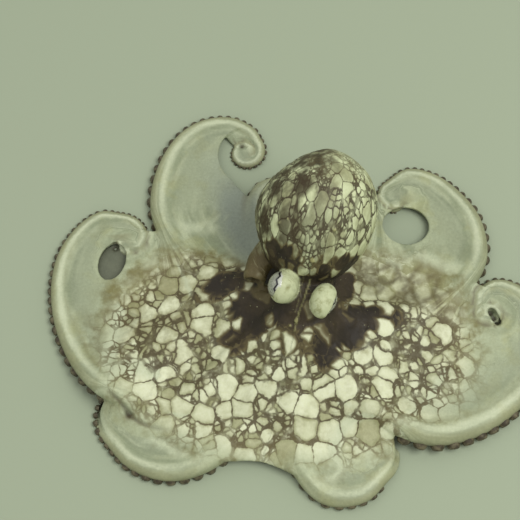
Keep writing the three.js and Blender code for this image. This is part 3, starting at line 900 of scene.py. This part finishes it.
def netDistance(vector, sizes=netBuild["sizes"], shares=netBuild["kept"]):
    # Millimetres to the nearest line of the net, and a random value for each cell.
    # Some large cells are whole, and the others are parted into smaller ones.
    wave = addVector("SUBTRACT", addNoise(vector, netBuild["warpSize"], 2.0, "Color"), (0.5, 0.5, 0.5))
    warped = addVector("ADD", vector, addVector("SCALE", wave, 2 * netBuild["warp"]))
    gap, parted, values = 50.0, 1.0, 0.0
    for size, share in zip(sizes, (*shares, None)):
        edge = addCells(warped, size, "DISTANCE_TO_EDGE", "Distance") * size
        cell = addCells(warped, size, "F1", "Color")
        shade = addNode(vector.tree, "ShaderNodeSeparateXYZ", {0: cell})
        rounded = (netBuild["round"] - cell.also("Distance")) * size
        if share:
            chosen = addMath("LESS_THAN", shade, share)
            ring = addMath("ABSOLUTE", rounded) + (1 - chosen) * netBuild["far"]
            whole = chosen * addMath("GREATER_THAN", rounded, 0.0)
        else:
            ring, whole = rounded + netBuild["gapRing"], 0.0
        edge = addMath("MINIMUM", edge, ring) + (1 - parted) * netBuild["far"]
        gap = addMath("SMOOTH_MIN", gap, edge, netBuild["corner"])
        values = values + shade * parted
        parted = parted * (1 - whole)
    return gap, addMath("FRACT", values * netBuild["shuffle"])


def puffSkin():
    # swells each cell of the net a little, by the same pattern that colours it
    tree = bpy.data.node_groups.new("puff", "GeometryNodeTree")
    for way in ("INPUT", "OUTPUT"):
        tree.interface.new_socket("Geometry", in_out=way, socket_type="NodeSocketGeometry")
    sink = tree.nodes.new("NodeGroupOutput")

    def mark(name, kind="FLOAT"):
        return addNode(tree, "GeometryNodeInputNamedAttribute", {"Name": name}, "Attribute", data_type=kind)

    gap = netDistance(mark("netCoord", "FLOAT_VECTOR"))[0]
    height = addMap(gap, 0.0, netBuild["puff"]) - netBuild["puffLow"]
    amount = mark("net") * (netBuild["puffHigh"] / 1000) * (1 - mark("bulb"))
    offset = addVector("SCALE", addNode(tree, "GeometryNodeInputNormal", {}), height * amount)
    source = addNode(tree, "NodeGroupInput", {})
    feed(sink.inputs[0], addNode(tree, "GeometryNodeSetPosition", {"Geometry": source, "Offset": offset}))
    skin.modifiers.new("puff", "NODES").node_group = tree


def layBakeMap(piece):  # unwraps the piece's own shape into a map for baking
    piece.data.uv_layers.new(name="OFBake")
    bpy.context.view_layer.objects.active = piece
    piece.select_set(True)
    bpy.ops.object.mode_set(mode="EDIT")
    bpy.ops.mesh.select_all(action="SELECT")
    bpy.ops.uv.smart_project(angle_limit=1.15, island_margin=0.002, scale_to_bounds=True)
    bpy.ops.object.mode_set(mode="OBJECT")
    piece.select_set(False)
    print("bake map laid")


def finishSkin():
    # adds the relief, thins the mesh and lays the bake map
    markSkin(skin.data)
    puffSkin()
    skin.modifiers.new("triangles", "TRIANGULATE")
    thin = skin.modifiers.new("thin", "DECIMATE")
    thin.ratio = min(1, skinBuild["most"] / sum(len(face.vertices) - 2 for face in skin.data.polygons))
    applied(skin)
    mesh = skin.data
    spots = spotsOf(mesh)
    spots[:, 2] = np.maximum(spots[:, 2], 0)
    setSpots(mesh, spots)
    markSkin(mesh)
    shadeSmooth(mesh)
    print("skin finished:", len(mesh.polygons), "triangles")
    layBakeMap(skin)


shapeSkin()
finishSkin()


skinPaint = {  # sRGB, 0 to 255
    "cell": (224, 228, 192), "cellFar": (178, 187, 154), "cellShade": (158, 160, 120),
    "cellBrown": (136, 130, 80), "line": (60, 49, 30), "lineFar": (100, 88, 54),
    "mask": (60, 51, 35), "maskDeep": (42, 36, 26), "maskCell": (98, 88, 56), "funnel": (98, 88, 56),
    "web": (139, 148, 118), "webLight": (185, 193, 159), "brown": (112, 106, 58), "olive": (160, 162, 112),
    # hollow and pocket are painted shade, and crest is a painted highlight
    "blue": (131, 140, 129), "hollow": (139, 147, 122), "pocket": (96, 100, 84), "crest": (205, 212, 180),
    # groove, outside and under are painted shade
    "grooveShade": (112, 110, 78), "outside": (146, 148, 112), "edge": (196, 204, 172), "under": (112, 108, 84),
    # mantleDark is partly painted shade on the mantle's left
    "mantle": (204, 212, 168), "mantleDark": (72, 66, 44), "fold": (168, 166, 112), "bulb": (194, 201, 160),
    # sucker is painted shade on the cups
    "bulbShade": (132, 132, 84), "sucker": (60, 52, 34), "suckerInside": (108, 101, 74),
}
grains = {  # sizes of the noises in millimetres, the streaks' along, across and up
    "streak": (26, 4.2, 10), "mottle": 16.0, "fine": 1.6, "ragged": 1.7, "uneven": 7.0, "brown": 9.0,
    "olive": 14.0, "blotch": 12.0, "speck": 1.3, "bulb": 3.4, "sucker": 2.5,
}
pattern = {  # strengths, and ranges to ease a value over, some with what it goes from and to
    "drawnOut": (0.4, 1.0, 1.0), "netNear": 0.42, "mantleNear": 0.15, "near": (0.1, 0.6),
    "thin": 0.02, "wider": 0.17, "soft": 0.56, "ragged": 1.1, "line": 0.92, "lineNet": (0.0, 0.7),
    "lineStreak": (0.0, 1.9, 0.75, 0.0), "lineUneven": (0.3, 0.55, 0.5, 1.0),
    "cellNet": (0.05, 0.8), "cellShade": 0.35, "brownCell": (0.78, 0.95, 0.0, 0.5),
    "brownEdge": (0.3, 1.7, 0.5, 0.0), "shadeEdge": (0.2, 2.6, 1.0, 0.0),
    "shadeCell": (0.2, 0.9, 0.15, 0.85),
    "brown": (0.42, 0.7), "brownZone": (0.14, 0.8),  # in a brown zone, this much more and stronger
    "brownNet": (0.0, 0.25), "brownLeast": 0.15,
    "brownOnWeb": 0.6, "brownOnCell": 0.22, "olive": (0.52, 0.7), "oliveOnWeb": 0.45,
    "streakMiddle": 0.54, "streak": (-0.18, 0.16), "grooveShadeBreaks": (0.42, 0.6), "netOverWeb": (0.0, 0.6),
    "blotch": (0.35, 0.6), "patch": (0.35, 0.65),
    "maskCells": 0.34, "maskMottle": 0.3, "maskLine": (0.2, 3.2, 0.26, -0.2), "maskStart": (0.0, 0.3),
    "maskEdge": (0.3, 0.66), "maskWhole": (0.55, 0.85), "maskDeep": (0.35, 0.62), "speck": (0.75, 0.8),
    "bulb": (0.46, 0.82), "fold": 0.75, "funnel": 0.8, "fine": 0.35, "bumpFine": 0.5, "bumpStreak": 1.2,
}
overlays = [  # plain colours over the web, in turn: mark, strength and colour
    # hollow, outside, groove, under, pocket, crease and coilEye lay painted shade; crest lays a painted
    # highlight
    ("blue", 0.85, "blue"), ("hollow", 0.55, "hollow"), ("outside", 0.75, "outside"),
    ("crest", 0.7, "crest"), ("freeEdge", 0.7, "edge"), ("grooveShade", 0.4, "grooveShade"), ("under", 0.85, "under"),
    ("pocket", 0.9, "pocket"), ("crease", 0.7, "mask"), ("coilEye", 1.0, "mask"),
]
skinMarks = ["net", "blur", "mask", "mantle", "mantleShade", "brown", "streaky", "funnel", "bulb", "fold",
             *(mark for mark, strength, tint in overlays)]


def paint(name, table=skinPaint):  # a named colour, from sRGB to linear
    shares = [value / 255 for value in table[name]]
    return tuple(v / 12.92 if v <= 0.04045 else ((v + 0.055) / 1.055) ** 2.4 for v in shares) + (1.0,)


def addMix(factor, first, second, blend="MIX"):  # colours are Values, tuples or names in skinPaint
    values = [paint(value) if isinstance(value, str) else value for value in (factor, first, second)]
    inputs = dict(zip((0, 6, 7), values))
    return addNode(treeOf(values), "ShaderNodeMix", inputs, 2, data_type="RGBA", blend_type=blend)


def addMark(tree, name, output="Fac"):
    return addNode(tree, "ShaderNodeAttribute", {}, output, attribute_name=name)


def newMaterial(name, settings):
    material = bpy.data.materials.new(name)
    material.use_nodes = True
    shader = material.node_tree.nodes["Principled BSDF"]
    for key, value in settings.items():
        shader.inputs[key].default_value = value
    return material, material.node_tree, shader.inputs


def netLine(at):
    # lines of the net: sharp and dark near the head, wide and faint towards the rims
    drawn = addVector("MULTIPLY", at.flow, pattern["drawnOut"])
    streakGap = netDistance(drawn, netBuild["streakSizes"], netBuild["streakKept"])[0]
    within = at.net * pattern["netNear"] + at.mantle * pattern["mantleNear"]
    at.near = addMap(at.mask + within, *pattern["near"])
    width = at.near * pattern["wider"] + pattern["thin"]
    ragged = (addNoise(at.coord, grains["ragged"]) - 0.5) * pattern["ragged"]
    line = addMap(at.gap + ragged, width, width + pattern["soft"], 1.0, 0.0)
    line = line * (1 - at.blur) + addMap(streakGap, *pattern["lineStreak"]) * at.blur
    uneven = addMap(addNoise(at.coord, grains["uneven"], 2.0), *pattern["lineUneven"])
    return line * uneven * addMap(at.net, *pattern["lineNet"])


def webColour(at):
    more, stronger = pattern["brownZone"]
    brown = addMap(addNoise(at.coord, grains["brown"], rough=0.6) + at.brown * more, *pattern["brown"])

    # each cell has a shade of its own, and darker and browner edges
    cell = addMix(addMap(at.net, *pattern["cellNet"]), "cellFar", "cell")
    edge = addMap(at.gap, *pattern["shadeEdge"])
    for amount, shade in (
            (addMap(at.cellValue, 0.0, 1.0) * pattern["cellShade"], "cellShade"),
            (addMap(at.cellValue, *pattern["brownCell"]), "cellBrown"),
            (addMap(at.gap, *pattern["brownEdge"]) * brown, "cellBrown"),
            (edge * addMap(at.cellValue, *pattern["shadeCell"]), "cellShade")):
        cell = addMix(amount, cell, shade)

    # the web past the net is streaky, with olive and brown in it
    streak = addMap((at.streak - pattern["streakMiddle"]) * at.streaky, *pattern["streak"])
    web = addMix(streak, "web", "webLight")
    olive = addMap(addNoise(at.coord, grains["olive"]), *pattern["olive"])
    web = addMix(olive * pattern["oliveOnWeb"], web, "olive")
    shown = addMap(at.net, *pattern["brownNet"]) + pattern["brownLeast"]
    brown = brown * shown * (at.brown * stronger + 1)
    web = addMix(brown * pattern["brownOnWeb"], web, "brown")
    cell = addMix(brown * pattern["brownOnCell"], cell, "brown")
    return addMix(addMap(at.net, *pattern["netOverWeb"]), web, cell)


def overlaid(at, colour):
    for mark, strength, tint in overlays:
        amount = getattr(at, mark)
        # the groove's painted shade is broken into short lines
        if mark == "grooveShade":  # broken into short lines
            amount = amount * addMap(at.streak, *pattern["grooveShadeBreaks"])
        colour = addMix(amount * strength, colour, tint)
    return colour


def mantleColour(at):  # long pale patches, with dark blotches on its left and towards the head
    # the blotches are darker on the left partly as painted shade
    blotch = addMap(addNoise(at.coord, grains["blotch"]), *pattern["blotch"])
    patch = addMix(addMap(at.mottle, *pattern["patch"]), "mantle", "cellShade")
    return addMix(at.mantleShade * blotch, patch, "mantleDark")


def masked(at, colour):  # the dark mask, edged by whole cells
    edge = (at.cellValue - 0.5) * pattern["maskCells"] + (at.mottle - 0.5) * pattern["maskMottle"]
    edge = edge + addMap(at.gap, *pattern["maskLine"])
    edge = at.mask + edge * addMap(at.mask, *pattern["maskStart"])
    dark = addMix(addMap(at.mottle, *pattern["maskDeep"]), "mask", "maskDeep")
    dark = addMix(addMap(edge, *pattern["maskWhole"]), "maskCell", dark)
    speck = addMap(addNoise(at.coord, grains["speck"], 1.0), *pattern["speck"])
    return addMix(addMap(edge, *pattern["maskEdge"]), colour, addMix(speck, dark, "cellShade"))


def skinMaterial():
    material, tree, surface = newMaterial("octopusSkin", {
        "Roughness": 0.55, "Specular IOR Level": 0.3, "Coat Weight": 0.03, "Coat Roughness": 0.35})
    at = SimpleNamespace(**{mark: addMark(tree, mark) for mark in skinMarks})
    at.coord, at.flow = addMark(tree, "netCoord", "Vector"), addMark(tree, "flowCoord", "Vector")
    at.gap, at.cellValue = netDistance(at.coord)
    at.streak = addNoise(addVector("MULTIPLY", at.flow, [1 / size for size in grains["streak"]]), 1.0)
    at.mottle = addNoise(at.coord, grains["mottle"])
    line = netLine(at)
    colour = addMix(at.mantle, overlaid(at, webColour(at)), mantleColour(at))
    colour = addMix(line * pattern["line"], colour, addMix(at.near, "lineFar", "line"))
    colour = addMix(at.funnel * pattern["funnel"], masked(at, colour), "funnel")

    # the skin over the eyes, and the folds between them
    bulb = addMix(addMap(addNoise(at.coord, grains["bulb"]), *pattern["bulb"]), "bulb", "bulbShade")
    colour = addMix(at.fold * pattern["fold"], addMix(at.bulb, colour, bulb), "fold")

    fine = addNoise(at.coord, grains["fine"], rough=0.65)
    grain = addMix(fine, (0.25, 0.25, 0.22, 1), (0.85, 0.86, 0.8, 1))  # lighter and darker
    feed(surface["Base Color"], addMix(pattern["fine"], colour, grain, "OVERLAY"))
    height = fine * pattern["bumpFine"] + at.streak * pattern["bumpStreak"]
    relief = {"Height": height, "Distance": 0.0006, "Strength": 0.6}
    feed(surface["Normal"], addNode(tree, "ShaderNodeBump", relief))
    return material


eyePaint = {"iris": (126, 130, 114), "irisRim": (166, 170, 148), "pupil": (24, 22, 24),
            "white": (200, 202, 188)}
pupil = {"half": 0.075, "soft": 0.035, "zigzag": 0.1, "waves": 3.2, "ends": (0.86, 0.95), "grain": 0.12}


def eyeMaterial():
    material, tree, surface = newMaterial("wetEye", {
        "Roughness": 0.18, "Coat Weight": 0.6, "Coat Roughness": 0.06})
    iris, irisRim, white, dark = [paint(name, eyePaint) for name in ("iris", "irisRim", "white", "pupil")]
    place = addMark(tree, "eyePlace", "Vector")
    across = addNode(tree, "ShaderNodeSeparateXYZ", {0: place})
    along = across.also(1)
    colour = addMix(addMap(addNoise(place, pupil["grain"]), 0.35, 0.65), iris, irisRim)
    colour = addMix(addMap(across, 0.0, 0.2), colour, white)
    wave = addMath("PINGPONG", along * pupil["waves"], 1.0)
    off = addMath("ABSOLUTE", across - (wave - 0.5) * (pupil["zigzag"] * 2))
    slit = addMap(off, pupil["half"], pupil["half"] + pupil["soft"], 1.0, 0.0)
    slit = slit * addMap(addMath("ABSOLUTE", along), *pupil["ends"], 1.0, 0.0)
    feed(surface["Base Color"], addMix(slit, colour, dark))
    return material


def makeEyes():
    material = eyeMaterial()
    for name, eye in eyes.items():
        bm = bmesh.new()
        bmesh.ops.create_uvsphere(bm, u_segments=64, v_segments=40, radius=1)
        turn, half, centre = turnOf(eye).T, np.array(eye["half"]), np.array(eye["centre"])
        movedBy(bm, lambda spots: (spots * half) @ turn + centre)
        ball = toObject(bm, name.replace("eye", "eyeball"))
        reach, across, along, ahead = eyePlaces(eye, spotsOf(ball.data))
        setMark(ball.data, "eyePlace", np.column_stack([across, along, ahead]))
        ball.data.materials.append(material)
        shadeSmooth(ball.data)
        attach(ball, "root")
        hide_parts(name)
    print("eyes made")


# Places and sizes in thicknesses of the arm, which carries them down to its least. A cup is 1 mm in
# radius: its walls are steps of rise and scale, and its rim and hollow are insets.
suckerBuild = {"spread": 30, "radius": 0.32, "out": 0.46, "pitch": 0.66, "start": 14, "least": 2.6,
               "sides": 10, "foot": -0.9, "walls": ((1.25, 1.0), (0.45, 0.82)), "rim": 0.22,
               "hollow": (0.16, -0.5), "flat": 0.9}


def suckerCup():  # opens along +Z
    bm = bmesh.new()
    bmesh.ops.create_circle(bm, cap_ends=True, segments=suckerBuild["sides"], radius=1)
    bmesh.ops.translate(bm, vec=(0, 0, suckerBuild["foot"]), verts=bm.verts)
    top = bm.faces[:]
    for lift, scale in suckerBuild["walls"]:
        made = bmesh.ops.extrude_face_region(bm, geom=top)["geom"]
        bmesh.ops.delete(bm, geom=top, context="FACES_ONLY")
        verts = [item for item in made if isinstance(item, bmesh.types.BMVert)]
        top = [item for item in made if isinstance(item, bmesh.types.BMFace)]
        bmesh.ops.translate(bm, vec=(0, 0, lift), verts=verts)
        bmesh.ops.scale(bm, vec=(scale, scale, 1), verts=verts)
    bmesh.ops.inset_region(bm, faces=top, thickness=suckerBuild["rim"])
    inset, depth = suckerBuild["hollow"]
    bmesh.ops.inset_region(bm, faces=top, thickness=inset, depth=depth)
    bmesh.ops.recalc_face_normals(bm, faces=bm.faces)
    return meshFrom(bm, "suckerCup")


def suckerPlace(arm, s, thick, side):
    # the place, turn and size of a cup, out from the arm's underside on one side
    at = np.array([s])
    along, back, across = (rows[0] for rows in framesAt(arm, at))
    spread = math.radians(suckerBuild["spread"])
    out = -back * math.cos(spread) + across * side * math.sin(spread)
    tangent = unit(np.cross(out, along))
    turn = Matrix(np.column_stack([along, tangent, np.cross(along, tangent)]))
    if (turn @ Vector((0, 0, 1))).dot(Vector(out)) < 0:
        turn = turn @ Matrix.Rotation(math.pi, 3, "X")
    spot = centreAt(arm, at)[0] + out * thick * suckerBuild["out"] * arm.get("showing", 1)
    radius = suckerBuild["radius"] * thick
    size = Matrix.Diagonal((radius, radius, radius * suckerBuild["flat"], 1))
    return Matrix.Translation(spot) @ turn.to_4x4() @ size


def makeSuckers(material):
    cup = suckerCup()
    for name, arm in arms.items():
        bm = bmesh.new()
        s, count = suckerBuild["start"], 0
        while s < arm.get("suckered", arm["length"]) and thickAt(arm, s) > suckerBuild["least"]:
            thick = float(thickAt(arm, s))
            pitch = suckerBuild["pitch"] * thick
            for side, step in ((-1, 0.0), (1, 0.5)):  # two rows, half a pitch apart
                bm.from_mesh(cup)
                bm.verts.ensure_lookup_table()
                place = suckerPlace(arm, s + step * pitch, thick, side)
                bmesh.ops.transform(bm, matrix=place, verts=bm.verts[-len(cup.vertices):])
                count += 1
            s += pitch
        for vert in bm.verts:
            vert.co.z = max(vert.co.z, 0)
        piece = toObject(bm, "suckers_" + name)
        piece.data.materials.append(material)
        shadeSmooth(piece.data)
        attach(piece, "root")
        print("suckers on", name + ":", count)


def suckerMaterial():
    material, tree, surface = newMaterial("suckerSkin", {"Roughness": 0.5, "Coat Weight": 0.1})
    inMetres = addNode(tree, "ShaderNodeTexCoord", {}, "Object")
    grain = addNoise(addVector("SCALE", inMetres, 1000.0), grains["sucker"], 2.0)
    # the cups' dark colour is painted shade, under a lighter grain
    feed(surface["Base Color"], addMix(addMap(grain, 0.35, 0.7), "sucker", "suckerInside"))
    return material


skin.data.materials.append(skinMaterial())
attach(skin, "root")
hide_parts(*[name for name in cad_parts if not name.startswith("eye_")])
makeEyes()
makeSuckers(suckerMaterial())


studio = {"floor": (163, 174, 147), "floorSize": 3, "world": (255, 255, 255), "worldPower": 0.5,
          "key": (0.6, -0.2, 1.35), "keySize": 0.9, "keyPower": 12, "aim": (0, 0, 0.02),
          "fill": (-0.8, 0.3, 1.2), "fillSize": 1.5, "fillPower": 3}
camera = {"aim": (-23.5, 44.4, 0), "rise": 68, "distance": 0.8, "lens": 92.3, "sensor": 36}


def aimed(piece, place, target):
    piece.location = place
    piece.rotation_euler = (Vector(target) - Vector(place)).to_track_quat("-Z", "Y").to_euler()
    bpy.context.scene.collection.objects.link(piece)


def addLight(name):
    lamp = bpy.data.lights.new(name + "Light", "AREA")
    lamp.shape, lamp.size, lamp.energy = "DISK", studio[name + "Size"], studio[name + "Power"]
    aimed(bpy.data.objects.new(name + "Light", lamp), studio[name], studio["aim"])


def makeStudio():
    bm = bmesh.new()
    bmesh.ops.create_grid(bm, x_segments=1, y_segments=1, size=studio["floorSize"])
    floor = linked(meshFrom(bm, "studioFloor"), "studioFloor")
    paleFloor = newMaterial("paleFloor", {"Base Color": paint("floor", studio), "Roughness": 0.9})
    floor.data.materials.append(paleFloor[0])
    world = bpy.data.worlds.new("studioWorld")
    world.use_nodes = True
    sky = world.node_tree.nodes["Background"]
    sky.inputs["Color"].default_value = paint("world", studio)
    sky.inputs["Strength"].default_value = studio["worldPower"]
    bpy.context.scene.world = world
    addLight("key")
    addLight("fill")
    bpy.context.scene.view_settings.view_transform = "Standard"


def makeCamera():
    lens = bpy.data.cameras.new("camera")
    lens.lens, lens.sensor_width, lens.clip_start = camera["lens"], camera["sensor"], 0.05
    rise = math.radians(camera["rise"])
    target = toFrame @ Vector(camera["aim"])
    target.z = 0
    back = Vector((0, -math.cos(rise), math.sin(rise))) * camera["distance"]
    piece = bpy.data.objects.new("camera", lens)
    aimed(piece, target + back, target)
    bpy.context.scene.camera = piece


makeStudio()
makeCamera()
print("studio set")
